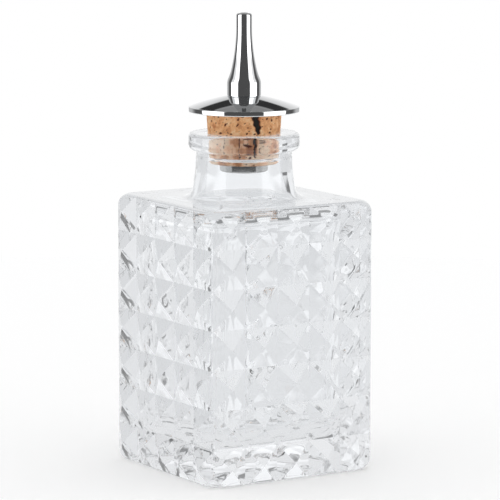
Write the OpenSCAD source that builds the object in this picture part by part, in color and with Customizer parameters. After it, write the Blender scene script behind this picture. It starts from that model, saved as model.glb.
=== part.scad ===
// Square pressed-glass bitters bottle with diamond studs and a corked dasher spout.
// The origin is the middle of the foot, with +Z up and the four faces square to X and Y.

/* [Body] */
// Width and depth of the body across the valleys between the studs
body_w = 54; // [50:1:64]
// Height of the body from the foot to the flat of the shoulder
body_h = 79.4; // [70:0.2:95]
// Columns of studs on each face
stud_columns = 5; // [4:1:7]
// Rows of studs on each face
stud_rows = 7; // [5:1:9]
// Height of a stud's point above its valleys
stud_h = 2; // [1:0.1:2.6]
// Rounding of the shoulder's edge
shoulder_r = 3.6; // [3:0.1:7]
// Rounding of the heel
heel_r = 3.7; // [3:0.1:6]
// Rounding of the four upright corners, taken across the stud points
corner_r = 7.4; // [7.2:0.1:11]

/* [Glass] */
// Thickness of the side walls behind the valleys
wall = 5; // [3:0.1:7]
// Thickness of the base above the foot
base_t = 11.5; // [6:0.5:16]
// Thickness of the shoulder under its flat
shoulder_t = 3; // [2.4:0.1:5]
// Depth of the hollow under the base
push_up = 1.6; // [0.6:0.1:3]
// Width of the hollow under the base
push_up_d = 37; // [28:1:40]

/* [Neck] */
// Height of the neck and lip above the shoulder
neck_h = 18.9; // [17:0.1:26]
// Outer width of the neck below the lip
neck_d = 28.2; // [26:0.1:30]
// Inner width of the neck
bore_d = 22.5; // [22:0.1:23]
// Outer width of the lip
lip_d = 32.6; // [31:0.1:36]
// Height of the lip
lip_h = 5.1; // [4.6:0.1:7]

/* [Cork] */
// Length of the cork
cork_l = 15; // [12:0.1:17]
// Width of the cork's top
cork_top_d = 22; // [21:0.1:22.2]
// Width of the cork's bottom
cork_bottom_d = 20.2; // [18.4:0.1:20.4]
// Length of cork that stands above the lip
cork_above = 6.1; // [4.5:0.1:7.5]

/* [Drip cap and nut] */
// Width of the drip cap
cap_d = 32.6; // [28:0.1:38]
// Rise of the drip cap from its rim to the spout
cap_rise = 3.1; // [2.5:0.1:4.5]
// Thickness of the drip cap's rim
cap_rim_t = 1.5; // [1:0.1:2.2]
// Width of the retaining nut
nut_d = 14.3; // [11:0.1:16]
// Thickness of the retaining nut
nut_t = 2.6; // [2.2:0.1:4]

/* [Spout] */
// Height of the spout above the drip cap
spout_h = 24; // [22:0.1:32]
// Width of the spout's foot
spout_foot_d = 9.95; // [8.5:0.05:10.2]
// Width of the spout's tip
spout_tip_d = 4.6; // [4.2:0.05:5.4]
// Width of the pouring bore
pour_d = 2.2; // [1.6:0.1:2.4]
// Width of the stem through the cork
stem_d = 6; // [5:0.1:7]

/* [Hidden] */
$fn = 96;
// Overlap that makes a cut or a joint clean
cut = 1;
half_w = body_w / 2;
column_w = body_w / stud_columns;
// The rows run a little past the flats at both ends, as they do in the mould
row_over = 0.55;
row_h = (body_h + 2 * row_over) / stud_rows;
// Half width of the rounded block that trims the studs, just clear of their points
point_gap = 0.05;
skin = half_w + stud_h + point_gap;
cavity_half = half_w - wall;
cavity_top = body_h - shoulder_t;
cavity_upright_r = 9;
cavity_top_r = 3;
cavity_floor_r = 6;
neck_r = neck_d / 2;
bore_r = bore_d / 2;
lip_top = body_h + neck_h;
lip_bottom = lip_top - lip_h;
lip_r = lip_d / 2;
// Rounding of the lip's upper edge and of its fuller underside
lip_over_r = 1.2;
lip_under_r = 1.7;
lip_root_r = 0.5;
mouth_edge_r = 0.8;
// Height of the part of the mouth that grips the cork, and of the step below it
grip_h = 6.8;
grip_step = 0.8;
// Long sweep of the neck's outside, and the small round where it meets the shoulder
sweep_r = 58;
neck_root_r = 3;
// Slope of the neck's inside as it opens, and how far it opens before the round
flare_angle = 14;
flare_open = 1.35;
fit_gap = 0.05;
cork_edge = 0.4;
cork_bottom = lip_top + cork_above - cork_l;
cork_top = cork_bottom + cork_l;
cap_shoulder = cork_top + cap_rim_t;
cap_top = cap_shoulder + cap_rise;
cap_edge_r = 0.25;
// Flat under the drip cap around the cork, before the hollow begins
cap_seat = 0.6;
// How far the drip cap's dome stands out of a plain cone
cap_bulge = 0.25;
foot_r = spout_foot_d / 2;
tip_r = spout_tip_d / 2;
tip_edge_r = 0.7;
tip_straight = 4;
stem_r = stem_d / 2;
nut_r = nut_d / 2;
nut_edge_r = 0.9;
// Small chamfer that shows the joint between spout and cap
seam_edge = 0.2;

// Distance of the cork's side from its axis at a height
function cork_r(z) = cork_bottom_d / 2
    + (z - cork_bottom) / cork_l * (cork_top_d - cork_bottom_d) / 2;

// One face's teeth, a valley and a point at a time, from its left end at y = -half_w
function teeth(count, pitch) = [
    for (i = [0 : count - 1]) each [
        [(i - count / 2) * pitch, -half_w],
        [(i + 0.5 - count / 2) * pitch, -half_w - stud_h]
    ]
];

function turned(p, a) = [p.x * cos(a) - p.y * sin(a), p.x * sin(a) + p.y * cos(a)];

// Upright rectangle about the axis with round corners at the bottom and the top
module round_profile(half, bottom, top, bottom_r, top_r) {
    translate([-half, bottom + bottom_r])
        square([2 * half, top - top_r - bottom - bottom_r]);
    translate([bottom_r - half, bottom])
        square([2 * (half - bottom_r), top - bottom - top_r]);
    translate([top_r - half, bottom + bottom_r])
        square([2 * (half - top_r), top - bottom - bottom_r]);
    for (side = [-1, 1]) {
        translate([side * (half - bottom_r), bottom + bottom_r]) circle(bottom_r);
        translate([side * (half - top_r), top - top_r]) circle(top_r);
    }
}

// The right half of that rectangle, as a turned piece needs it
module half_profile(half, bottom, top, bottom_r, top_r) {
    intersection() {
        round_profile(half, bottom, top, bottom_r, top_r);
        translate([0, bottom]) square([half, top - bottom]);
    }
}

// Square block with round upright corners and round bottom and top edges
module round_block(half, bottom, top, upright_r, bottom_r, top_r) {
    inner = half - upright_r;
    for (a = [0, 90])
        rotate([90, 0, a])
            linear_extrude(2 * inner, center = true)
                round_profile(half, bottom, top, bottom_r, top_r);
    for (x = [-inner, inner], y = [-inner, inner])
        translate([x, y, 0])
            rotate_extrude()
                half_profile(upright_r, bottom, top, bottom_r, top_r);
}

// Material left in the corner of a floor and the wall on its left, with a round face
module root(r) {
    difference() {
        square(r);
        translate([r, r]) circle(r);
    }
}

// Upright ribs on all four faces
module upright_ribs() {
    linear_extrude(body_h)
        polygon([for (a = [0 : 90 : 270]) for (p = teeth(stud_columns, column_w)) turned(p, a)]);
}

// Level ribs on two opposite faces
module level_ribs() {
    right = [for (p = teeth(stud_rows, row_h)) [-p.y, p.x + body_h / 2]];
    left = [for (i = [len(right) - 1 : -1 : 0]) [-right[i].x, right[i].y]];
    top = body_h + row_over;
    rotate([90, 0, 0])
        linear_extrude(2 * skin, center = true)
            polygon(concat(right, [[half_w, top], [-half_w, top]], left));
}

// Where the ribs cross they leave a grid of four-sided points on each face
module studded_body() {
    intersection() {
        upright_ribs();
        level_ribs();
        rotate([0, 0, 90]) level_ribs();
        round_block(skin, 0, body_h, corner_r, heel_r, shoulder_r);
    }
}

module neck_and_lip() {
    sweep_x = neck_r + sweep_r;
    sweep_z = lip_bottom - lip_root_r;
    // The small round lies inside the sweep's circle and touches it
    reach = sweep_r - neck_root_r;
    root_z = body_h + neck_root_r;
    root_x = sweep_x - sqrt(reach * reach - pow(sweep_z - root_z, 2));
    touch_x = sweep_x + (root_x - sweep_x) * sweep_r / reach;
    touch_z = sweep_z + (root_z - sweep_z) * sweep_r / reach;
    rotate_extrude() {
        difference() {
            translate([0, touch_z]) square([touch_x, sweep_z - touch_z]);
            translate([sweep_x, sweep_z]) circle(sweep_r);
        }
        difference() {
            polygon([[0, body_h - cut], [root_x, body_h - cut], [root_x, root_z],
                [touch_x, touch_z], [0, touch_z]]);
            translate([root_x, root_z]) circle(neck_root_r);
        }
        translate([0, sweep_z]) square([neck_r, lip_top - sweep_z - lip_over_r]);
        translate([neck_r, lip_bottom]) mirror([0, 1]) root(lip_root_r);
        half_profile(lip_r, lip_bottom, lip_top, lip_under_r, lip_over_r);
    }
}

// The hollow in the glass: the cavity, the neck that opens into it, and the mouth
module inside() {
    flare_end = cavity_half - cavity_top_r;
    flare_r = (flare_end - bore_r - flare_open) / cos(flare_angle);
    flare_z = cavity_top + flare_r;
    open_z = flare_z - flare_r * sin(flare_angle);
    grip_z = lip_top - grip_h;
    mouth_r = cork_r(lip_top) + fit_gap;
    round_block(cavity_half, base_t, cavity_top, cavity_upright_r, cavity_floor_r, cavity_top_r);
    rotate_extrude() {
        difference() {
            polygon([[0, cavity_top - cut], [flare_end, cavity_top - cut], [flare_end, cavity_top],
                [bore_r + flare_open, open_z], [bore_r, open_z + flare_open / tan(flare_angle)],
                [0, open_z + flare_open / tan(flare_angle)]]);
            translate([flare_end, flare_z]) circle(flare_r);
        }
        polygon([[0, open_z], [bore_r, open_z], [bore_r, grip_z - grip_step],
            [cork_r(grip_z) + fit_gap, grip_z], [mouth_r, lip_top],
            [mouth_r, lip_top + cut], [0, lip_top + cut]]);
        translate([mouth_r, lip_top]) mirror([0, 1]) root(mouth_edge_r);
    }
}

module bottle() {
    // Radius of the ball that hollows the base
    ball_r = (pow(push_up_d / 2, 2) + push_up * push_up) / (2 * push_up);
    color("azure", 0.35)
        difference() {
            union() {
                studded_body();
                neck_and_lip();
            }
            inside();
            translate([0, 0, push_up - ball_r]) sphere(ball_r);
        }
}

module cork() {
    color("burlywood")
        rotate_extrude()
            polygon([[stem_r, cork_bottom], [cork_bottom_d / 2 - cork_edge, cork_bottom],
                [cork_r(cork_bottom + cork_edge), cork_bottom + cork_edge],
                [cork_r(cork_top - cork_edge), cork_top - cork_edge],
                [cork_top_d / 2 - cork_edge, cork_top], [stem_r, cork_top]]);
}

// Domed cap with an upright rim. Outside the cork its underside is hollowed to a drip edge,
// which keeps the cap about as thick as its rim.
module drip_cap() {
    hole_r = stem_r + fit_gap;
    dome_x = cap_d / 2 - cap_edge_r;
    // The dome is an arc over the line from the rim to the spout's foot
    run = dome_x - foot_r;
    slant = norm([run, cap_rise]);
    dome_r = (slant * slant / 4 + cap_bulge * cap_bulge) / (2 * cap_bulge);
    centre = [(dome_x + foot_r) / 2, cap_shoulder + cap_rise / 2]
        - (dome_r - cap_bulge) / slant * [cap_rise, run];
    hollow_in = cork_top_d / 2 + cap_seat;
    hollow_out = dome_x - cap_rim_t / 2;
    hollow_h = cap_rise * (dome_x - hollow_in) / run;
    color("gainsboro")
        rotate_extrude()
            difference() {
                union() {
                    half_profile(cap_d / 2, cork_top, cap_shoulder, cap_edge_r, cap_edge_r);
                    polygon([[0, cap_shoulder - cut], [dome_x, cap_shoulder - cut],
                        [dome_x, cap_shoulder], [foot_r, cap_top], [0, cap_top]]);
                    intersection() {
                        translate(centre) circle(dome_r, $fn = 720);
                        polygon([[dome_x, cap_shoulder], [dome_x, cap_top], [foot_r, cap_top]]);
                    }
                }
                translate([0, cork_top - cut]) square([hole_r, cap_top - cork_top + 2 * cut]);
                polygon([[hollow_in, cork_top - cut], [hollow_out, cork_top - cut],
                    [hollow_out, cork_top], [hollow_in, cork_top + hollow_h]]);
            }
}

// Turned nozzle: a drum foot, a round shoulder, two sweeps up to a straight tip,
// and a stem that carries the cap, the cork and the nut
module spout() {
    shoulder_turn = 24;
    sweep_turn = 13.5;
    bulb_r = 4.5;
    low_sweep_r = 14;
    bulb_x = foot_r - bulb_r * (1 - cos(shoulder_turn));
    waist_x = bulb_x - low_sweep_r * (cos(sweep_turn) - cos(shoulder_turn));
    long_sweep_r = (waist_x - tip_r) / (1 - cos(sweep_turn));
    top = cap_top + spout_h;
    tip_z = top - tip_straight;
    waist_z = tip_z - long_sweep_r * sin(sweep_turn);
    bulb_z = waist_z - low_sweep_r * (sin(shoulder_turn) - sin(sweep_turn));
    drum_z = bulb_z - bulb_r * sin(shoulder_turn);
    color("gainsboro")
        rotate_extrude()
            difference() {
                union() {
                    translate([0, cork_bottom - nut_t])
                        square([stem_r, nut_t + cap_top - cork_bottom + cut]);
                    polygon([[0, cap_top], [foot_r - seam_edge, cap_top], [foot_r, cap_top + seam_edge],
                        [foot_r, drum_z], [0, drum_z]]);
                    intersection() {
                        translate([0, drum_z]) square([foot_r, bulb_z - drum_z]);
                        translate([foot_r - bulb_r, drum_z]) circle(bulb_r);
                    }
                    difference() {
                        polygon([[0, bulb_z - cut], [bulb_x, bulb_z - cut], [bulb_x, bulb_z],
                            [waist_x, waist_z], [0, waist_z]]);
                        translate([bulb_x + low_sweep_r * cos(shoulder_turn),
                            bulb_z + low_sweep_r * sin(shoulder_turn)]) circle(low_sweep_r, $fn = 360);
                    }
                    difference() {
                        polygon([[0, waist_z - cut], [waist_x, waist_z - cut], [waist_x, waist_z],
                            [tip_r, tip_z], [0, tip_z]]);
                        translate([tip_r + long_sweep_r, tip_z]) circle(long_sweep_r, $fn = 720);
                    }
                    half_profile(tip_r, tip_z - cut, top, tip_edge_r, tip_edge_r);
                }
                translate([0, cork_bottom - nut_t - cut]) square([pour_d / 2, top + 2 * cut]);
            }
}

module retaining_nut() {
    bottom = cork_bottom - nut_t;
    color("gainsboro")
        rotate_extrude()
            difference() {
                half_profile(nut_r, bottom, cork_bottom, nut_edge_r, nut_edge_r / 2);
                translate([0, bottom - cut]) square([stem_r + fit_gap, nut_t + 2 * cut]);
            }
}

bottle();
cork();
drip_cap();
spout();
retaining_nut();
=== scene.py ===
# Clear square bitters bottle with diamond studs, a natural cork and a chromed dasher spout.
import math
import random
from itertools import pairwise

import bmesh
import bpy
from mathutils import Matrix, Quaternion, Vector, noise


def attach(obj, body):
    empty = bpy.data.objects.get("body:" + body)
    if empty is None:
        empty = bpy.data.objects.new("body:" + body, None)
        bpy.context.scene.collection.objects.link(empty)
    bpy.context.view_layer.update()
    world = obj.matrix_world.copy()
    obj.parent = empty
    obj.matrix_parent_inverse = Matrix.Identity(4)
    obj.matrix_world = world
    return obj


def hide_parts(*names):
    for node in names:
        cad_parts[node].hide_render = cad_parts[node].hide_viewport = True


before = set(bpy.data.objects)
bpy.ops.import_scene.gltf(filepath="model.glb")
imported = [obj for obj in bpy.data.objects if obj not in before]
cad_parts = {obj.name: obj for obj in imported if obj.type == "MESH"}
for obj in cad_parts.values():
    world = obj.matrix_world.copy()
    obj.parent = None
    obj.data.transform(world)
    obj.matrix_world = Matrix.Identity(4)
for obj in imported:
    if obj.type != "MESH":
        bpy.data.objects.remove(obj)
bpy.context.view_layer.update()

mm = 0.001
tiny = 0.01  # millimetres, for comparing heights


# Small tools

def smoothStep(low, high, value):
    t = min(max((value - low) / (high - low), 0.0), 1.0)
    return t * t * (3 - 2 * t)


def softMin(first, second, width):
    near = max(width - abs(first - second), 0.0) / width
    return min(first, second) - near * near * width / 4


def arc(centreR, centreZ, radius, start, end, steps):
    # Angles are in degrees from the outward direction
    angles = [math.radians(start + (end - start) * i / steps) for i in range(steps + 1)]
    return [(centreR + radius * math.cos(a), centreZ + radius * math.sin(a)) for a in angles]


def line(start, end, steps):
    return [tuple(a + (b - a) * i / steps for a, b in zip(start, end)) for i in range(steps + 1)]


def addPiece(name, mesh, body, slot, *nodes):
    piece = bpy.data.objects.new(name, mesh)
    bpy.context.scene.collection.objects.link(piece)
    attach(piece, body)
    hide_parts(*nodes)
    return piece


def finishMesh(name, bm, sharpAngle, foldAngle=180):
    # Edges are sharp from the first angle on, and inward folds from the second if that is less
    bmesh.ops.recalc_face_normals(bm, faces=bm.faces)
    for face in bm.faces:
        face.smooth = True
    for edge in bm.edges:
        angle = edge.calc_face_angle_signed(0.0)
        edge.smooth = abs(angle) < math.radians(sharpAngle) and angle > -math.radians(foldAngle)
    mesh = bpy.data.meshes.new(name)
    bm.to_mesh(mesh)
    bm.free()
    return mesh


def turned(outline, steps):
    # A closed loop of (radius, height) in millimetres, spun about the upright axis
    bm = bmesh.new()
    verts = [bm.verts.new((r * mm, 0, z * mm)) for r, z in outline]
    edges = [bm.edges.new(pair) for pair in zip(verts, verts[1:] + verts[:1])]
    bmesh.ops.spin(bm, geom=verts + edges, cent=(0, 0, 0), axis=(0, 0, 1), angle=2 * math.pi,
        steps=steps, use_merge=True)
    return bm


def addNode(tree, kind, inputs=None, **settings):
    made = tree.nodes.new(kind)
    for key, value in settings.items():
        setattr(made, key, value)
    for key, value in (inputs or {}).items():
        if isinstance(value, bpy.types.NodeSocket):
            tree.links.new(value, made.inputs[key])
        else:
            made.inputs[key].default_value = value
    return made


def maths(tree, operation, *values):
    return addNode(tree, "ShaderNodeMath", dict(enumerate(values)), operation=operation).outputs[0]


def mapRange(tree, value, fromLow, fromHigh, toLow=0.0, toHigh=1.0, kind="LINEAR"):
    inputs = {0: value, 1: fromLow, 2: fromHigh, 3: toLow, 4: toHigh}
    return addNode(tree, "ShaderNodeMapRange", inputs, interpolation_type=kind).outputs[0]


def blend(tree, share, first, second):
    inputs = {0: share, 2: first, 3: second}
    return addNode(tree, "ShaderNodeMix", inputs, data_type="FLOAT").outputs[0]


def blendColours(tree, share, first, second):
    inputs = {0: share, 6: first, 7: second}
    return addNode(tree, "ShaderNodeMix", inputs, data_type="RGBA").outputs[2]


def speckle(tree, place, scale, detail, **inputs):
    inputs = {"Vector": place, "Scale": scale, "Detail": detail, **inputs}
    return addNode(tree, "ShaderNodeTexNoise", inputs).outputs[0]


def ramp(tree, value, stops):
    made = addNode(tree, "ShaderNodeValToRGB", {0: value})
    elements = made.color_ramp.elements
    while len(elements) < len(stops):
        elements.new(0.5)
    for element, (position, colour) in zip(elements, stops):
        element.position = position
        element.color = (*colour, 1) if isinstance(colour, tuple) else (colour, colour, colour, 1)
    return made.outputs[0]


def newMaterial(name, **constants):
    material = bpy.data.materials.new(name)
    material.use_nodes = True
    tree = material.node_tree
    shader = tree.nodes["Principled BSDF"]
    for key, value in constants.items():
        shader.inputs[key.replace("_", " ")].default_value = value
    place = tree.nodes.new("ShaderNodeTexCoord").outputs["Object"]
    return material, tree, shader, place


def addBump(tree, shader, height, strength, distance):
    bump = addNode(tree, "ShaderNodeBump", {"Height": height, "Strength": strength, "Distance": distance})
    tree.links.new(bump.outputs[0], shader.inputs["Normal"])


# Camera

print("camera")
view = {
    "azimuth": -31.87,
    "elevation": 8.32,
    "distance": 1.0029,
    "aimRight": 0.0018,
    "aimHeight": 0.0636,
    "roll": 0.083,
    "sensor": 36,
    "focalInFrames": 6.857,
    "near": 0.01,
    "far": 20,
}
azimuth = math.radians(view["azimuth"])
elevation = math.radians(view["elevation"])
towardsCamera = Vector((
    math.sin(azimuth) * math.cos(elevation),
    -math.cos(azimuth) * math.cos(elevation),
    math.sin(elevation)))
rightward = Vector((math.cos(azimuth), math.sin(azimuth), 0))
aim = rightward * view["aimRight"] + Vector((0, 0, view["aimHeight"]))
cameraData = bpy.data.cameras.new("camera")
cameraData.sensor_width = view["sensor"]
cameraData.lens = view["sensor"] * view["focalInFrames"]
cameraData.clip_start = view["near"]
cameraData.clip_end = view["far"]
camera = bpy.data.objects.new("camera", cameraData)
camera.location = aim + towardsCamera * view["distance"]
camera.rotation_mode = "QUATERNION"
camera.rotation_quaternion = (
    towardsCamera.to_track_quat("Z", "Y") @ Quaternion((0, 0, 1), math.radians(view["roll"])))
bpy.context.scene.collection.objects.link(camera)
bpy.context.scene.camera = camera

# Glass bottle: one closed skin of rings, from the middle of the hollow under the base,
# up the studs, round the lip, and down the inside to the middle of the floor

print("glass")
glass = {
    "half": 27.0,  # to the valleys between the studs
    "bodyTop": 79.4,
    "columns": 5,
    "rows": 7,
    "rowOver": 0.55,  # how far the first and last row of studs run past the body
    "studHeight": 2.0,
    "pointGap": 0.05,  # from the studs' points to the block that trims them
    "cornerRadius": 7.4,
    "heelRadius": 3.7,
    "shoulderRadius": 3.6,
    "steps": 18,  # points across and up one stud
    "ringGap": 0.2,
    "ridgeRound": 0.12,
    "sharpAngle": 14,
    "pushUp": 1.6,
    "pushUpRadius": 18.5,
    "neckRadius": 14.1,
    "sweepRadius": 58.0,
    "rootRadius": 3.0,
    "lipRadius": 16.3,
    "lipBottom": 93.2,
    "lipTop": 98.3,
    "lipOver": 1.2,
    "lipUnder": 1.7,
    "lipRoot": 0.5,
    "mouthRadius": 10.68,
    "mouthEdge": 0.8,
    "gripBottom": 91.5,
    "gripRadius": 10.28,
    "boreTop": 90.7,
    "boreRadius": 11.25,
    "flareAngle": 14.0,
    "flareOpen": 1.35,
    "flareEnd": 262.0,
    "cavityHalf": 22.0,
    "cavityTop": 76.4,
    "cavityFloor": 11.5,
    "cavityUpright": 9.0,
    "cavityTopEdge": 3.0,
    "cavityFloorEdge": 6.0,
    "middleRadius": 1.0,
    # Waves of the pressed glass
    "waveOut": 0.1,
    "waveIn": 0.22,
    "waveGain": 1.6,
    "slowWave": 11.0,
    "quickWave": 4.5,
    "quickShare": 0.25,
    "footCalm": (0.5, 6.0),  # no waves below the first height, full ones above the second
    "topShare": 0.6,
    "topDip": 0.15,
    "floorWave": 2.0,
    "flareCalm": (75.0, 71.0),  # none above the first height, full ones below the second
    "echo": 0.25,  # swell of the hollow behind each stud
    "echoRise": (14.0, 18.0),
    "tint": [(0.3, (0.976, 0.982, 0.986)), (0.7, (0.988, 0.992, 0.995))],
}
columnWidth = glass["half"] * 2 / glass["columns"]
rowHeight = (glass["bodyTop"] + 2 * glass["rowOver"]) / glass["rows"]
skinHalf = glass["half"] + glass["studHeight"] + glass["pointGap"]
faceSteps = glass["columns"] * glass["steps"]


def gridPlace(along, z):
    # How far across and up its cell of the stud grid a point lies, each from 0 to 1
    across = (along + glass["half"]) / columnWidth
    up = (z + glass["rowOver"]) / rowHeight
    return across - math.floor(across), up - math.floor(up)


def studHeightAt(along, z):
    # A pyramid on each cell, with its ridges a little rounded
    across, up = gridPlace(along, z)
    high = glass["studHeight"]
    fromSides = (1 - abs(2 * across - 1)) * high
    fromEnds = (1 - abs(2 * up - 1)) * high
    return max(softMin(fromSides, fromEnds, glass["ridgeRound"]), 0.0)


def pullIn(along, out, centre, radius):
    # A point that would stand beyond the round corner is drawn in to it
    side = abs(along)
    if side > centre and out > centre:
        far = math.hypot(side - centre, out - centre)
        if far > radius:
            side = centre + (side - centre) * radius / far
            out = centre + (out - centre) * radius / far
    return math.copysign(side, along), out


def onFace(face, along, out):
    outX, outY = [(1, 0), (0, 1), (-1, 0), (0, -1)][face]
    return outX * out - outY * along, outY * out + outX * along


def outsideRing(z, envelope):
    # The studs at one height, trimmed by a round-cornered block
    centre = skinHalf - glass["cornerRadius"]
    ring = []
    for face in range(4):
        for j in range(faceSteps):
            along = glass["half"] * (2 * j / faceSteps - 1)
            out = min(glass["half"] + studHeightAt(along, z), envelope)
            ring.append((*onFace(face, *pullIn(along, out, centre, envelope - centre)), z))
    return ring


def insideRing(z, half, corner):
    # Points shared out evenly along a square with round corners
    count = faceSteps // 2
    flat = half - corner
    reach = flat + corner * math.pi / 4
    ring = []
    for face in range(4):
        for j in range(count):
            t = reach * (2 * j / count - 1)
            along, out = t, half
            if abs(t) > flat:
                a = (abs(t) - flat) / corner
                along, out = math.copysign(flat + corner * math.sin(a), t), flat + corner * math.cos(a)
            ring.append((*onFace(face, along, out), z))
    return ring


def roundRing(radius, z):
    # The spacing follows the square's, so that rings of both kinds join without a twist
    count = faceSteps // 2
    ring = []
    for face in range(4):
        for j in range(count):
            a = math.pi / 2 * face + math.atan(2 * j / count - 1)
            ring.append((radius * math.cos(a), radius * math.sin(a), z))
    return ring


def blendRings(first, second, share):
    return [tuple(a + (b - a) * share for a, b in zip(p, q)) for p, q in zip(first, second)]


def baseRings():
    # Hollow under the base, from its middle, and the foot
    rings = []
    ball = (glass["pushUpRadius"] ** 2 + glass["pushUp"] ** 2) / (2 * glass["pushUp"])
    for share in (0.06, 0.2, 0.35, 0.5, 0.65, 0.8, 0.9, 1.0):
        radius = glass["pushUpRadius"] * share
        rings.append(roundRing(radius, glass["pushUp"] - ball + math.sqrt(ball * ball - radius * radius)))
    hollowEdge = rings[-1]
    foot = outsideRing(0.0, skinHalf - glass["heelRadius"])[::2]
    return rings + [blendRings(hollowEdge, foot, share) for share in (0.3, 0.65, 0.93)]


def sideRings():
    # Heel, studded sides and shoulder
    heel, shoulder = glass["heelRadius"], glass["shoulderRadius"]
    sideTop = glass["bodyTop"] - shoulder
    rings = [outsideRing(z, r) for r, z in arc(skinHalf - heel, heel, heel, -90, 0, 10)]
    for i in range(glass["rows"] * glass["steps"]):
        z = i * rowHeight / glass["steps"] - glass["rowOver"]
        if heel + glass["ringGap"] < z < sideTop - glass["ringGap"]:
            rings.append(outsideRing(z, skinHalf))
    return rings + [outsideRing(z, r) for r, z in arc(skinHalf - shoulder, sideTop, shoulder, 0, 90, 15)]


def neckOutline():
    # Root, swept neck and lip
    sweepR = glass["neckRadius"] + glass["sweepRadius"]
    sweepZ = glass["lipBottom"] - glass["lipRoot"]
    reach = glass["sweepRadius"] - glass["rootRadius"]
    rootZ = glass["bodyTop"] + glass["rootRadius"]
    rootR = sweepR - math.sqrt(reach ** 2 - (sweepZ - rootZ) ** 2)
    turn = math.degrees(math.atan2(sweepZ - rootZ, sweepR - rootR))
    under, over = glass["lipUnder"], glass["lipOver"]
    outline = arc(rootR, rootZ, glass["rootRadius"], 270, 180 + turn, 8)
    outline += arc(sweepR, sweepZ, glass["sweepRadius"], 180 + turn, 180, 16)[1:]
    outline += arc(glass["neckRadius"] + glass["lipRoot"], sweepZ, glass["lipRoot"], 180, 90, 5)[1:]
    outline += arc(glass["lipRadius"] - under, glass["lipBottom"] + under, under, -90, 0, 9)[1:]
    return outline + arc(glass["lipRadius"] - over, glass["lipTop"] - over, over, 0, 90, 8)


def mouthOutline():
    # Mouth, bore and flare, down to the ceiling of the hollow
    lipFlat = (glass["lipRadius"] - glass["lipOver"], glass["lipTop"])
    mouth = glass["mouthRadius"] + glass["mouthEdge"]
    edgeZ = glass["lipTop"] - glass["mouthEdge"]
    grip = (glass["gripRadius"], glass["gripBottom"])
    boreTop = (glass["boreRadius"], glass["boreTop"])
    outline = line(lipFlat, (mouth, glass["lipTop"]), 3)[1:-1]
    outline += arc(mouth, edgeZ, glass["mouthEdge"], 90, 180, 5)
    outline += line((glass["mouthRadius"], edgeZ), grip, 4)[1:]
    outline += line(grip, boreTop, 4)[1:]
    lean = math.radians(glass["flareAngle"])
    ceiling = glass["cavityHalf"] - glass["cavityTopEdge"]
    openR = glass["boreRadius"] + glass["flareOpen"]
    flareR = (ceiling - openR) / math.cos(lean)
    flareZ = glass["cavityTop"] + flareR
    openZ = flareZ - flareR * math.sin(lean)
    boreEnd = (glass["boreRadius"], openZ + glass["flareOpen"] / math.tan(lean))
    outline += line(boreTop, boreEnd, 5)[1:]
    outline += line(boreEnd, (openR, openZ), 6)[1:]
    return outline + arc(ceiling, flareZ, flareR, 180 + glass["flareAngle"], glass["flareEnd"], 14)[1:]


def hollowRings():
    # Ceiling edge, walls, floor edge and floor of the hollow
    half, topEdge, floorEdge = glass["cavityHalf"], glass["cavityTopEdge"], glass["cavityFloorEdge"]
    wallTop = glass["cavityTop"] - topEdge
    wallEnd = glass["cavityFloor"] + floorEdge
    outline = arc(half - topEdge, wallTop, topEdge, 90, 0, 7)
    outline += line((half, wallTop), (half, wallEnd), 50)[1:]
    outline += arc(half - floorEdge, wallEnd, floorEdge, 0, -90, 10)[1:]
    flatHalf = half - glass["cavityUpright"]
    rings = [insideRing(z, r, r - flatHalf) for r, z in outline]
    floorRing = rings[-1]
    middle = roundRing(glass["middleRadius"], glass["cavityFloor"])
    return rings + [blendRings(floorRing, middle, share) for share in (0.25, 0.5, 0.75)] + [middle]


def waveAt(point):
    slow = noise.noise(Vector(point) / glass["slowWave"] + Vector((3.1, 7.7, 1.3)))
    quick = noise.noise(Vector(point) / glass["quickWave"] + Vector((9.2, 0.4, 5.6)))
    return slow * (1 - glass["quickShare"]) + quick * glass["quickShare"]


def wavedOutside(point, onShoulder):
    # These waves only go inwards, and fade out at the foot
    x, y, z = point
    depth = 0.5 + 0.5 * max(-1.0, min(1.0, waveAt(point) * glass["waveGain"]))
    push = -glass["waveOut"] * depth * smoothStep(*glass["footCalm"], z)
    aboveBody = z > glass["bodyTop"] - tiny
    stretch = 1 + push / math.hypot(x, y) * (glass["topShare"] if aboveBody else 1.0)
    if aboveBody and onShoulder:
        z += push * glass["topDip"]
    return x * stretch, y * stretch, z


def wavedInside(point):
    # These waves go both ways and fade out in the flare. The hollow swells a little behind each stud.
    x, y, z = point
    wave = waveAt(point)
    across, up = gridPlace(y if abs(x) > abs(y) else x, z)
    swell = math.sin(math.pi * across) * math.sin(math.pi * up) * smoothStep(*glass["echoRise"], z)
    push = glass["waveIn"] * glass["waveGain"] * wave + glass["echo"] * swell
    stretch = 1 + push * smoothStep(*glass["flareCalm"], z) / math.hypot(x, y)
    if z < glass["cavityFloor"] + tiny:
        z += glass["waveIn"] * wave * glass["floorWave"]
    return x * stretch, y * stretch, z


def joinStudded(bm, lower, upper, z):
    # Each quarter of a cell is split along the ridge of its pyramid
    lowerHalf = gridPlace(0.0, z)[1] < 0.5
    for k in range(len(lower)):
        n = (k + 1) % len(lower)
        leftHalf = k % glass["steps"] < glass["steps"] / 2
        if leftHalf == lowerHalf:
            bm.faces.new((lower[k], lower[n], upper[n]))
            bm.faces.new((lower[k], upper[n], upper[k]))
        else:
            bm.faces.new((lower[k], lower[n], upper[k]))
            bm.faces.new((lower[n], upper[n], upper[k]))


def joinEven(bm, lower, upper):
    for k in range(len(lower)):
        n = (k + 1) % len(lower)
        bm.faces.new((lower[k], lower[n], upper[n], upper[k]))


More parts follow.
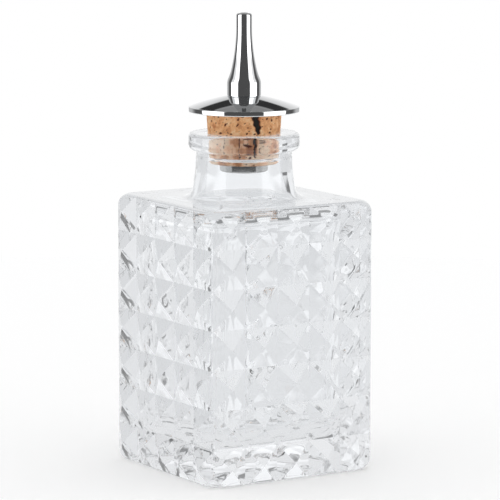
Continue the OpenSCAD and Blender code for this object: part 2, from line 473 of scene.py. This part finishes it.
def joinToHalf(bm, fine, coarse):
    # The fine ring has two points for each of the coarse one
    for k in range(len(coarse)):
        n = (k + 1) % len(coarse)
        bm.faces.new((fine[2 * k], fine[2 * k + 1], coarse[k]))
        bm.faces.new((fine[2 * k + 1], fine[2 * n], coarse[n], coarse[k]))


def closeEnd(bm, ring):
    middle = bm.verts.new(sum((vert.co for vert in ring), Vector()) / len(ring))
    for k in range(len(ring)):
        bm.faces.new((ring[k], ring[(k + 1) % len(ring)], middle))


def glassMesh():
    outside = baseRings() + sideRings()
    neck = neckOutline()
    shoulderRing, rootRing = outside[-1][::2], roundRing(*neck[0])
    outside += [blendRings(shoulderRing, rootRing, share) for share in (0.07, 0.35, 0.7)] + [rootRing]
    shoulderEnd = len(outside)
    outside += [roundRing(r, z) for r, z in neck[1:]]
    inside = [roundRing(r, z) for r, z in mouthOutline()] + hollowRings()
    points = [[wavedOutside(p, i < shoulderEnd) for p in ring] for i, ring in enumerate(outside)]
    points += [[wavedInside(p) for p in ring] for ring in inside]
    bm = bmesh.new()
    made = [[bm.verts.new((x * mm, y * mm, z * mm)) for x, y, z in ring] for ring in points]
    heights = [ring[0][2] for ring in outside + inside]
    for (lower, upper), levels in zip(pairwise(made), pairwise(heights)):
        if len(lower) == len(upper) == 4 * faceSteps:
            joinStudded(bm, lower, upper, sum(levels) / 2)
        elif len(lower) == len(upper):
            joinEven(bm, lower, upper)
        elif len(lower) > len(upper):
            joinToHalf(bm, lower, upper)
        else:
            joinToHalf(bm, upper, lower)
    closeEnd(bm, made[0])
    closeEnd(bm, made[-1])
    return finishMesh("glassBottle", bm, glass["sharpAngle"])


bottleGlass = addPiece("bottleGlass", glassMesh(), "glass", "clear_glass", "bottle")

glassMat, tree, shader, place = newMaterial(
    "clearGlass", Roughness=0.0, IOR=1.5, Transmission_Weight=1.0)
tint = ramp(tree, speckle(tree, place, scale=60.0, detail=2.0), glass["tint"])
tree.links.new(tint, shader.inputs["Base Color"])
addBump(tree, shader, speckle(tree, place, scale=420.0, detail=2.0), strength=0.015, distance=0.0002)
bottleGlass.data.materials.append(glassMat)

# Cork with pores and a crack

print("cork")
cork = {
    "bottom": 89.4,
    "top": 104.4,
    "bottomRadius": 10.1,
    "topRadius": 11.0,
    "stemRadius": 3.0,
    "edge": 0.4,
    "around": 300,
    "high": 72,
    "sharpAngle": 40,
    "ripple": 0.05,
    "rippleAround": 12.0,
    "rippleUp": 1.1,
    # Pores, with their sizes in millimetres and their shade from 0 to 1
    "seed": 7,
    "poreCount": 420,
    "poreDepth": 0.35,
    "frontPore": (0.08, 0.15),
    "sidePore": (0.09, 0.24),
    "sideFrom": 1.45,  # radians from the front
    "poreStretch": (1.0, 2.4),
    "poreTilt": 0.6,
    "poreShade": (0.3, 0.75),
    "poreOuter": 1.25,
    "poreInner": 0.55,
    "markLonger": 1.2,
    "markWider": 1.3,
    "markShade": 0.75,
    # Colours
    "tan": [(0.34, (0.56, 0.21, 0.08)), (0.5, (0.90, 0.47, 0.215)), (0.66, (1.0, 0.70, 0.42))],
    # Stain colours of the part in the mouth; their pale end also carries the painted reflection at the sides
    "stainAndReflectionRamp": [(0.42, (1.0, 0.80, 0.63)), (0.52, (1.0, 0.64, 0.43)),
        (0.59, (0.66, 0.29, 0.14)), (0.68, (0.36, 0.12, 0.055))],
    "stainFrom": 0.0990,  # metres
    "stainTo": 0.0968,
    "stainShare": 0.85,
    # Painted reflection: the stain in the mouth is shifted darker in front and paler at the sides, as the
    # camera sees them
    "paintedReflectionSquared": 0.00006,  # square metres
    "paintedReflectionFront": 0.06,
    "paintedReflectionSide": -0.08,
    "brownFull": 0.5,
    "blackFrom": 0.72,
    "poreBrown": (0.13, 0.03, 0.014, 1),
    # Painted shade: the near black that the crack, and the deepest marks, are coloured
    "paintedCrackShade": (0.010, 0.008, 0.006, 1),
}

# Marks on the side that the photograph shows, from the front: degrees to the right, height,
# half length, half width and tilt in degrees
frontMarks = [
    (-61, 102.1, 0.36, 0.18, -45), (-66, 100.2, 0.30, 0.16, 60), (-30, 101.4, 0.44, 0.20, 55),
    (-9, 103.0, 0.32, 0.20, 80), (-10, 101.4, 0.50, 0.14, 50), (-40, 98.8, 0.46, 0.22, 5),
    (38, 103.1, 0.34, 0.24, 20), (48, 102.5, 0.34, 0.24, -50), (45, 99.0, 0.32, 0.20, 10),
    (82, 101.4, 0.40, 0.14, 70), (6, 100.6, 0.16, 0.12, 0), (5, 98.9, 0.34, 0.14, 60),
    (-20, 98.7, 0.22, 0.16, 0), (-43, 103.5, 0.26, 0.12, 30), (17, 98.7, 0.34, 0.16, 15),
    (30, 100.9, 0.30, 0.08, 10), (-52, 103.4, 0.14, 0.12, 0), (12, 103.6, 0.20, 0.12, 75),
    (-10, 97.2, 0.95, 0.22, 2), (7, 97.1, 1.1, 0.24, -4), (-7, 95.2, 1.2, 0.08, 86),
    (5, 95.6, 1.0, 0.24, -12), (-29, 95.4, 0.8, 0.06, 80), (27, 96.3, 0.9, 0.12, 4),
    (-6, 92.2, 0.30, 0.20, 40), (9, 92.0, 0.40, 0.26, 70), (40, 92.6, 0.32, 0.16, 30),
    (-50, 93.2, 0.34, 0.18, 10),
]

# Each change is an amount and the heights where it starts and is complete
crack = {
    "turn": 18.4,  # degrees to the right of the front
    "drift": (4.6, 103.6, 99.4),
    "jump": (-7.0, 98.8, 97.9),
    "wander": 0.9,
    "wanderRate": 3.7,
    "halfWidth": 0.16,
    "widening": (0.30, 93.2, 97.6),
    "widest": (0.52, 98.6, 101.4),
    "pinch": (0.85, 98.9, 98.5),
    "pinchEnd": (1.0, 97.7, 98.1),
    "bottom": 92.0,
    "outer": 1.25,
    "inner": 0.75,
}
frontAngle = math.atan2(towardsCamera.y, towardsCamera.x)


def corkPores():
    # Angle, height, half length, half width, tilt and shade of each pore
    rng = random.Random(cork["seed"])
    longer, wider = cork["markLonger"], cork["markWider"]
    pores = [(frontAngle + math.radians(turn), z, long * longer, short * wider, math.radians(tilt),
        cork["markShade"]) for turn, z, long, short, tilt in frontMarks]
    for _ in range(cork["poreCount"]):
        turn = rng.uniform(-math.pi, math.pi)
        z = rng.uniform(cork["bottom"], cork["top"])
        size = rng.uniform(*cork["sidePore" if abs(turn) > cork["sideFrom"] else "frontPore"])
        long = size * rng.uniform(*cork["poreStretch"])
        tilt = rng.uniform(-cork["poreTilt"], cork["poreTilt"])
        pores.append((frontAngle + turn, z, long, size, tilt, rng.uniform(*cork["poreShade"])))
    return pores


def poreShadeAt(pores, angle, radius, z):
    shade = 0.0
    for poreAngle, height, longHalf, shortHalf, tilt, depth in pores:
        up, reach = z - height, longHalf * cork["poreOuter"]
        if abs(up) > reach:
            continue
        side = math.remainder(angle - poreAngle, 2 * math.pi) * radius
        if abs(side) > reach:
            continue
        lengthwise = (side * math.cos(tilt) + up * math.sin(tilt)) / longHalf
        crosswise = (up * math.cos(tilt) - side * math.sin(tilt)) / shortHalf
        edge = smoothStep(cork["poreOuter"], cork["poreInner"], math.hypot(lengthwise, crosswise))
        shade = max(shade, depth * edge)
    return shade


def crackShadeAt(angle, radius, z):
    def changed(part):
        amount, start, end = crack[part]
        return amount * smoothStep(start, end, z)

    if z <= crack["bottom"]:
        return 0.0
    turn = crack["turn"] + changed("drift") + changed("jump")
    turn += crack["wander"] * math.sin(z * crack["wanderRate"])
    width = crack["halfWidth"] + changed("widening") + changed("widest")
    width *= 1 - changed("pinch") * changed("pinchEnd")
    side = math.remainder(angle - frontAngle - math.radians(turn), 2 * math.pi) * radius
    return smoothStep(width * crack["outer"], width * crack["inner"], abs(side))


def corkOutline():
    bottom, top, edge = cork["bottom"], cork["top"], cork["edge"]
    slope = (cork["topRadius"] - cork["bottomRadius"]) / (top - bottom)
    outline = line((cork["stemRadius"], bottom), (cork["bottomRadius"] - edge, bottom), 12)
    outline += line((cork["bottomRadius"] + slope * edge, bottom + edge),
        (cork["topRadius"] - slope * edge, top - edge), cork["high"])
    return outline + line((cork["topRadius"] - edge, top), (cork["stemRadius"], top), 4)


def corkMesh():
    pores = corkPores()
    bm = turned(corkOutline(), cork["around"])
    layer = bm.verts.layers.float_color.new("pore")
    endGap = cork["edge"] / 2
    for vert in bm.verts:
        angle = math.atan2(vert.co.y, vert.co.x)
        radius, z = math.hypot(vert.co.x, vert.co.y) / mm, vert.co.z / mm
        shade = 0.0
        if cork["bottom"] + endGap < z < cork["top"] - endGap:
            shade = max(poreShadeAt(pores, angle, radius, z), crackShadeAt(angle, radius, z))
            around = cork["rippleAround"]
            where = Vector((math.cos(angle) * around, math.sin(angle) * around, z * cork["rippleUp"]))
            radius += cork["ripple"] * (noise.noise(where) - 1) - cork["poreDepth"] * shade
            vert.co = (radius * math.cos(angle) * mm, radius * math.sin(angle) * mm, z * mm)
        vert[layer] = (shade, shade, shade, 1)
    return finishMesh("corkPlug", bm, cork["sharpAngle"])


corkPlug = addPiece("corkPlug", corkMesh(), "stopper", "natural_cork", "cork")
corkMat, tree, shader, place = newMaterial("naturalCork", Roughness=0.85)
mottle = speckle(tree, place, scale=380.0, detail=6.0, Roughness=0.75)
# The part in the mouth carries blotches of stain. Its sides, as the camera sees them, are painted paler and
# its front and back darker brown: a painted reflection of the glass laid over the cork
sideways = addNode(tree, "ShaderNodeVectorMath", {0: place, 1: rightward}, operation="DOT_PRODUCT")
sideways = sideways.outputs["Value"]
sideways = maths(tree, "MULTIPLY", sideways, sideways)
paintedReflectionShift = mapRange(tree, sideways, 0.0, cork["paintedReflectionSquared"], cork["paintedReflectionFront"], cork["paintedReflectionSide"])
stainBlotchesAndReflection = maths(tree, "ADD", speckle(tree, place, scale=260.0, detail=3.0), paintedReflectionShift)
height = addNode(tree, "ShaderNodeSeparateXYZ", {0: place}).outputs[2]
inMouth = mapRange(tree, height, cork["stainFrom"], cork["stainTo"], 0.0, cork["stainShare"])
colour = blendColours(tree, inMouth, ramp(tree, mottle, cork["tan"]), ramp(tree, stainBlotchesAndReflection, cork["stainAndReflectionRamp"]))
# Pores turn brown, and the crack black: painted shade inside the crack
pore = addNode(tree, "ShaderNodeAttribute", attribute_name="pore").outputs["Color"]
colour = blendColours(tree, mapRange(tree, pore, 0.0, cork["brownFull"]), colour, cork["poreBrown"])
colour = blendColours(tree, mapRange(tree, pore, cork["blackFrom"], 1.0), colour, cork["paintedCrackShade"])
tree.links.new(colour, shader.inputs["Base Color"])
addBump(tree, shader, mottle, strength=0.5, distance=0.0003)
corkPlug.data.materials.append(corkMat)

# Chromed cap, spout and nut

print("chrome")


def addTurning(name, outline, around, node, material):
    mesh = finishMesh(name, turned(outline, around), sharpAngle=30, foldAngle=10)
    piece = addPiece(name, mesh, "stopper", "chrome", node)
    piece.data.materials.append(material)


def platedMetal(name, smooth, rough, dark, light):
    # A faint speckle varies the polish and the colour
    material, tree, shader, place = newMaterial(name, Metallic=1.0)
    shine = speckle(tree, place, scale=300.0, detail=3.0)
    tree.links.new(ramp(tree, shine, [(0.3, smooth), (0.7, rough)]), shader.inputs["Roughness"])
    tree.links.new(ramp(tree, shine, [(0.3, dark), (0.7, light)]), shader.inputs["Base Color"])
    return material


chromeMat = platedMetal(
    "chrome", smooth=0.03, rough=0.06, dark=(0.80, 0.81, 0.82), light=(0.85, 0.86, 0.87))
dullMat = platedMetal(
    "dullChrome", smooth=0.08, rough=0.12, dark=(0.52, 0.52, 0.51), light=(0.58, 0.58, 0.57))

cap = {
    "bottom": 104.4,
    "shoulder": 105.9,
    "rise": 3.1,
    "radius": 16.3,
    "edge": 0.25,
    "bulge": 0.25,
    "hole": 3.05,
    "seat": 11.6,
    "thick": 1.5,
    "footRadius": 4.975,
    "around": 192,
}


def capOutline():
    domeR = cap["radius"] - cap["edge"]
    top = cap["shoulder"] + cap["rise"]
    run = domeR - cap["footRadius"]
    slant = math.hypot(run, cap["rise"])
    ballR = (slant ** 2 / 4 + cap["bulge"] ** 2) / (2 * cap["bulge"])
    centreR = (domeR + cap["footRadius"]) / 2 - (ballR - cap["bulge"]) / slant * cap["rise"]
    centreZ = cap["shoulder"] + cap["rise"] / 2 - (ballR - cap["bulge"]) / slant * run
    start = math.degrees(math.atan2(cap["shoulder"] - centreZ, domeR - centreR))
    end = math.degrees(math.atan2(top - centreZ, cap["footRadius"] - centreR))
    hollowTop = cap["bottom"] + cap["rise"] * (domeR - cap["seat"]) / run
    outline = [(cap["hole"], cap["bottom"]), (cap["seat"], cap["bottom"]), (cap["seat"], hollowTop)]
    outline += [(domeR - cap["thick"] / 2, cap["bottom"])]
    outline += arc(domeR, cap["bottom"] + cap["edge"], cap["edge"], -90, 0, 6)
    outline += arc(domeR, cap["shoulder"] - cap["edge"], cap["edge"], 0, 90, 6)
    outline += arc(centreR, centreZ, ballR, start, end, 14)[1:]
    return outline + [(cap["hole"], top)]


addTurning("capShell", capOutline(), cap["around"], "drip_cap", chromeMat)

spout = {
    "stemBottom": 86.8,
    "stemRadius": 3.0,
    "foot": 109.0,
    "footRadius": 4.975,
    "seam": 0.2,
    "tip": 133.0,
    "tipRadius": 2.3,
    "tipEdge": 0.7,
    "tipStraight": 4.0,
    "bore": 1.1,
    "bulbRadius": 4.5,
    "bulbTurn": 24.0,
    "lowSweep": 14.0,
    "sweepTurn": 13.5,
    "around": 128,
}


def spoutOutline():
    bulb, sweep = math.radians(spout["bulbTurn"]), math.radians(spout["sweepTurn"])
    bulbR = spout["footRadius"] - spout["bulbRadius"] * (1 - math.cos(bulb))
    waistR = bulbR - spout["lowSweep"] * (math.cos(sweep) - math.cos(bulb))
    longSweep = (waistR - spout["tipRadius"]) / (1 - math.cos(sweep))
    tipZ = spout["tip"] - spout["tipStraight"]
    waistZ = tipZ - longSweep * math.sin(sweep)
    bulbZ = waistZ - spout["lowSweep"] * (math.sin(bulb) - math.sin(sweep))
    drumZ = bulbZ - spout["bulbRadius"] * math.sin(bulb)
    lowCentre = (bulbR + spout["lowSweep"] * math.cos(bulb), bulbZ + spout["lowSweep"] * math.sin(bulb))
    stemR, foot, footR, seam = (spout[key] for key in ("stemRadius", "foot", "footRadius", "seam"))
    outline = [(spout["bore"], spout["stemBottom"]), (stemR, spout["stemBottom"]), (stemR, foot)]
    outline += [(footR - seam, foot)] + line((footR, foot + seam), (footR, drumZ), 4)
    outline += arc(footR - spout["bulbRadius"], drumZ, spout["bulbRadius"], 0, spout["bulbTurn"], 7)[1:]
    outline += arc(*lowCentre, spout["lowSweep"], 180 + spout["bulbTurn"], 180 + spout["sweepTurn"], 7)[1:]
    outline += arc(spout["tipRadius"] + longSweep, tipZ, longSweep, 180 + spout["sweepTurn"], 180, 16)[1:]
    tipFlat = spout["tipRadius"] - spout["tipEdge"]
    outline += arc(tipFlat, spout["tip"] - spout["tipEdge"], spout["tipEdge"], 0, 90, 7)
    return outline + [(spout["bore"], spout["tip"])]


addTurning("spoutTurned", spoutOutline(), spout["around"], "spout", chromeMat)

nut = {
    "bottom": 86.8,
    "top": 89.4,
    "radius": 7.15,
    "edge": 0.5,
    "hole": 3.05,
    "around": 128,
}


def nutOutline():
    edge, topEdge = nut["edge"], nut["edge"] / 2
    outline = [(nut["hole"], nut["bottom"])]
    outline += arc(nut["radius"] - edge, nut["bottom"] + edge, edge, -90, 0, 8)
    outline += arc(nut["radius"] - topEdge, nut["top"] - topEdge, topEdge, 0, 90, 6)
    return outline + [(nut["hole"], nut["top"])]


addTurning("nutTurned", nutOutline(), nut["around"], "retaining_nut", dullMat)

# Surroundings and floor

print("stage")
scene = bpy.context.scene
scene.view_settings.view_transform = "Standard"
scene.cycles.max_bounces = 32
scene.cycles.transmission_bounces = 32
scene.cycles.glossy_bounces = 16

# Aside is degrees round from the camera's direction, and lift degrees above level
studio = {
    "soft": 2.5,
    "crisp": 1.5,
    "unbounded": 200.0,
    "coolTone": (0.952, 0.965, 0.986, 1),
    # In front
    "frontHalf": 42.0,
    "frontHigh": 75.0,
    "frontMirrored": 0.08,
    "frontThrough": 0.40,
    # At the sides
    "sideMirrored": 2.2,
    "farSideFrom": 72.0,
    "farSideLow": 8.0,
    "farSideMirrored": 0.88,
    # Flanks, dark first and paler towards the back
    "flankFrom": 95.0,
    "flankTo": 160.0,
    "palingFrom": 116.0,
    "palingTo": 140.0,
    "darkMirrored": 0.10,
    "paleMirrored": 0.55,
    # Behind, fading upwards to a dark strip, and overhead
    "fadeFrom": 3.0,
    "behindLow": 1.05,
    "behindHigh": 0.66,
    "stripLow": 26.5,
    "stripHigh": 38.8,
    "stripMirrored": 0.035,
    "overMirrored": 0.26,
    # Seen through the glass
    "lowThrough": 0.79,
    "highThrough": 0.84,
    "brightLow": 2.0,
    "brightHigh": 12.5,
    "windowHalf": 9.0,
    "windowLow": -15.0,
    "windowHigh": 3.0,
    "aboveFrom": 93.0,
    "aboveLow": 29.0,
    "aboveHigh": 60.0,
    "aboveThrough": 0.28,
    "cardFrom": 122.0,
    "cardTo": 145.0,
    "cardLow": -4.0,
    "cardHigh": 12.0,
    "cardLeft": 0.8,
    "cardRight": 0.18,
    "tableHalf": 56.0,
    "tableLow": -14.0,
    "tableHigh": -2.0,
    "tableThrough": 0.12,
    # Plain light on the open pieces, and on the cork in the glass
    "open": 1.04,
    "openFront": 0.8,
    "inGlass": 2.0,
    "inGlassFront": 0.55,
    # Floor
    "floorRadius": 0.42,
    "floorPale": 0.95,
    "floorGlow": 0.06,
    "floorThrough": 0.80,
}


def band(tree, value, low, high, soft):
    # 1 between two edges, falling to 0 over a soft border
    rise = mapRange(tree, value, low - soft, low + soft, kind="SMOOTHSTEP")
    fall = mapRange(tree, value, high - soft, high + soft, 1.0, 0.0, kind="SMOOTHSTEP")
    return maths(tree, "MULTIPLY", rise, fall)


def makeSurroundings():
    world = bpy.data.worlds.new("studio")
    world.use_nodes = True
    tree = world.node_tree
    tree.nodes.clear()
    direction = tree.nodes.new("ShaderNodeTexCoord").outputs["Generated"]
    fromFront = addNode(tree, "ShaderNodeVectorRotate", {"Vector": direction, "Angle": -azimuth},
        rotation_type="Z_AXIS").outputs[0]
    parts = addNode(tree, "ShaderNodeSeparateXYZ", {0: fromFront})
    turn = maths(tree, "ARCTAN2", parts.outputs[0], maths(tree, "MULTIPLY", parts.outputs[1], -1.0))
    aside = maths(tree, "MULTIPLY", maths(tree, "ABSOLUTE", turn), 180 / math.pi)
    lift = maths(tree, "MULTIPLY", maths(tree, "ARCSINE", parts.outputs[2]), 180 / math.pi)
    far, soft, crisp = studio["unbounded"], studio["soft"], studio["crisp"]

    def patch(asideFrom, asideTo, liftFrom, liftTo):
        sideShare = band(tree, aside, asideFrom, asideTo, soft)
        return maths(tree, "MULTIPLY", sideShare, band(tree, lift, liftFrom, liftTo, soft))

    front = patch(-far, studio["frontHalf"], -far, studio["frontHigh"])
    # What metal and the skin of the glass mirror
    farSide = patch(studio["farSideFrom"], far, studio["farSideLow"], far)
    behind = band(tree, aside, studio["flankTo"], far, soft)
    fading = mapRange(tree, lift, studio["fadeFrom"], studio["stripLow"],
        studio["behindLow"], studio["behindHigh"])
    strip = maths(tree, "MULTIPLY", behind, band(tree, lift, studio["stripLow"], studio["stripHigh"], crisp))
    flank = patch(studio["flankFrom"], studio["flankTo"], -far, studio["stripHigh"])
    paling = mapRange(tree, aside, studio["palingFrom"], studio["palingTo"],
        studio["darkMirrored"], studio["paleMirrored"], kind="SMOOTHSTEP")
    over = band(tree, lift, studio["stripHigh"], far, crisp)
    mirrored = blend(tree, farSide, studio["sideMirrored"], studio["farSideMirrored"])
    mirrored = blend(tree, behind, mirrored, fading)
    mirrored = blend(tree, strip, mirrored, studio["stripMirrored"])
    mirrored = blend(tree, flank, mirrored, paling)
    mirrored = blend(tree, over, mirrored, studio["overMirrored"])
    mirrored = blend(tree, front, mirrored, studio["frontMirrored"])
    # What shows through the glass: pale grey, with a white band just above level and a white window
    # straight behind, and darker parts high up, to both sides, in front and low in front
    high = band(tree, lift, studio["brightHigh"], far, soft)
    bright = band(tree, lift, studio["brightLow"], studio["brightHigh"], soft)
    window = patch(180.0 - studio["windowHalf"], far, studio["windowLow"], studio["windowHigh"])
    above = patch(studio["aboveFrom"], far, studio["aboveLow"], studio["aboveHigh"])
    card = patch(studio["cardFrom"], studio["cardTo"], studio["cardLow"], studio["cardHigh"])
    cardShade = blend(tree, maths(tree, "GREATER_THAN", turn, 0.0), studio["cardLeft"], studio["cardRight"])
    table = patch(-far, studio["tableHalf"], studio["tableLow"], studio["tableHigh"])
    through = blend(tree, high, studio["lowThrough"], studio["highThrough"])
    through = blend(tree, bright, through, 1.0)
    through = blend(tree, window, through, 1.0)
    through = blend(tree, above, through, studio["aboveThrough"])
    through = blend(tree, card, through, cardShade)
    through = blend(tree, front, through, studio["frontThrough"])
    through = blend(tree, table, through, studio["tableThrough"])
    # The cork gets stronger light through the glass, as the pressed glass gathers it
    lightPath = tree.nodes.new("ShaderNodeLightPath")
    byGlass = lightPath.outputs["Is Transmission Ray"]
    scattered = maths(tree, "GREATER_THAN", lightPath.outputs["Diffuse Depth"], 0.5)
    lighting = blend(tree, front, studio["open"], studio["openFront"])
    gathered = blend(tree, front, studio["inGlass"], studio["inGlassFront"])
    gathered = blend(tree, byGlass, lighting, gathered)
    strength = blend(tree, lightPath.outputs["Is Glossy Ray"], lighting, mirrored)
    strength = blend(tree, byGlass, strength, through)
    strength = blend(tree, scattered, strength, gathered)
    strength = blend(tree, lightPath.outputs["Is Camera Ray"], strength, 1.0)
    cool = maths(tree, "MULTIPLY", byGlass, maths(tree, "SUBTRACT", 1.0, scattered))
    tone = blendColours(tree, cool, (1, 1, 1, 1), studio["coolTone"])
    background = addNode(tree, "ShaderNodeBackground", {"Color": tone, "Strength": strength})
    addNode(tree, "ShaderNodeOutputWorld", {"Surface": background.outputs[0]})
    return world


scene.world = makeSurroundings()

floorMesh = bpy.data.meshes.new("floor")
bm = bmesh.new()
bmesh.ops.create_circle(bm, cap_ends=True, segments=96, radius=studio["floorRadius"])
bm.to_mesh(floorMesh)
bm.free()
floor = bpy.data.objects.new("floor", floorMesh)
scene.collection.objects.link(floor)
# Pale with the object's shadow, but one even grey where it is seen through the glass
floorMat, tree, shader, place = newMaterial("floor", Roughness=0.9, Specular_IOR_Level=0.0)
shader.inputs["Emission Color"].default_value = studio["coolTone"]
lightPath = tree.nodes.new("ShaderNodeLightPath")
throughGlass = maths(tree, "GREATER_THAN", lightPath.outputs["Transmission Depth"], 0.5)
tree.links.new(blend(tree, throughGlass, studio["floorPale"], 0.0), shader.inputs["Base Color"])
glow = blend(tree, lightPath.outputs["Is Camera Ray"], 0.0, studio["floorGlow"])
glow = blend(tree, throughGlass, glow, studio["floorThrough"])
tree.links.new(glow, shader.inputs["Emission Strength"])
floorMesh.materials.append(floorMat)
